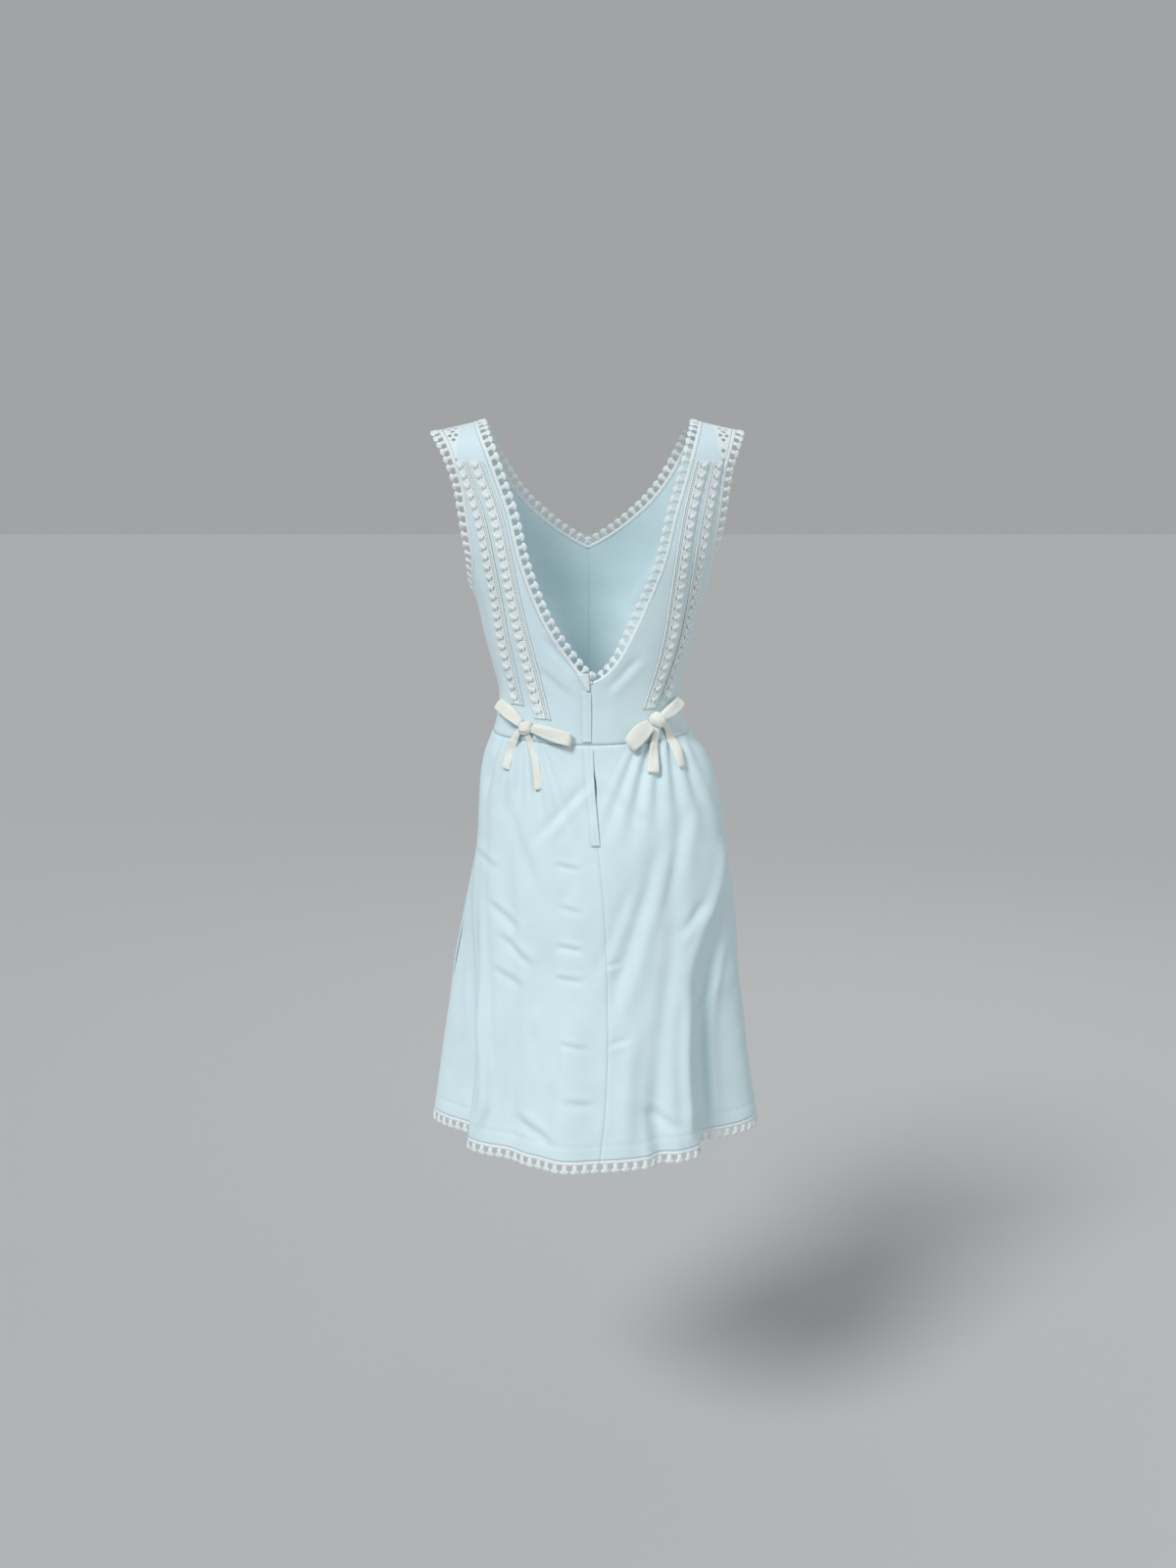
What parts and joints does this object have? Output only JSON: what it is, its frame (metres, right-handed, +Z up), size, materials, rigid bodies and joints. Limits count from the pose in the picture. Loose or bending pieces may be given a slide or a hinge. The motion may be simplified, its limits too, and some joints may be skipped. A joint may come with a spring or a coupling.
{
  "type": "wedding dress",
  "caption": "White sleeveless knee-length wedding dress in its worn shape, deep V back, crocheted edgings and lace bands, cream bows at the waist and a lapped centre-back zip.",
  "frame": {"origin": "midway between the undersides of the two shoulder straps, where the wearer's shoulders hold the dress", "axes": "+X to the wearer's right, +Y towards the dress front, +Z up; the hem is at the bottom"},
  "size_m": [0.4419, 0.3656, 0.9368],
  "materials": {
    "cloth": "plain woven crepe, soft low sheen",
    "crochet": "mercerised cotton crochet lace, matt",
    "ties": "turned-through crepe ribbon, matt cream",
    "zip": "woven zip tape with a plastic chain"
  },
  "bodies": {
    "root": {"armhole_edging_left": "crochet", "armhole_edging_right": "crochet", "band_inner_left": "crochet", "band_inner_right": "crochet", "band_outer_left": "crochet", "band_outer_right": "crochet", "bodice_back_left": "cloth", "bodice_back_right": "cloth", "bodice_front": "cloth", "bow_left_knot": "ties", "bow_left_loop_inner": "ties", "bow_left_loop_outer": "ties", "bow_left_tail_inner": "ties", "bow_left_tail_outer": "ties", "bow_right_knot": "ties", "bow_right_loop_inner": "ties", "bow_right_loop_outer": "ties", "bow_right_tail_inner": "ties", "bow_right_tail_outer": "ties", "hem_edging_back_left": "crochet", "hem_edging_back_right": "crochet", "hem_edging_front": "crochet", "neck_edging_back_left": "crochet", "neck_edging_back_right": "crochet", "neck_edging_front": "crochet", "neck_edging_tab": "crochet", "placket_lap_bodice": "cloth", "placket_lap_skirt": "cloth", "shoulder_lace_left": "crochet", "shoulder_lace_right": "crochet", "skirt_back_left": "cloth", "skirt_back_right": "cloth", "skirt_front": "cloth", "zip_chain": "zip", "zip_slider": "zip", "zip_tape": "zip"}
  },
  "joints": []
}
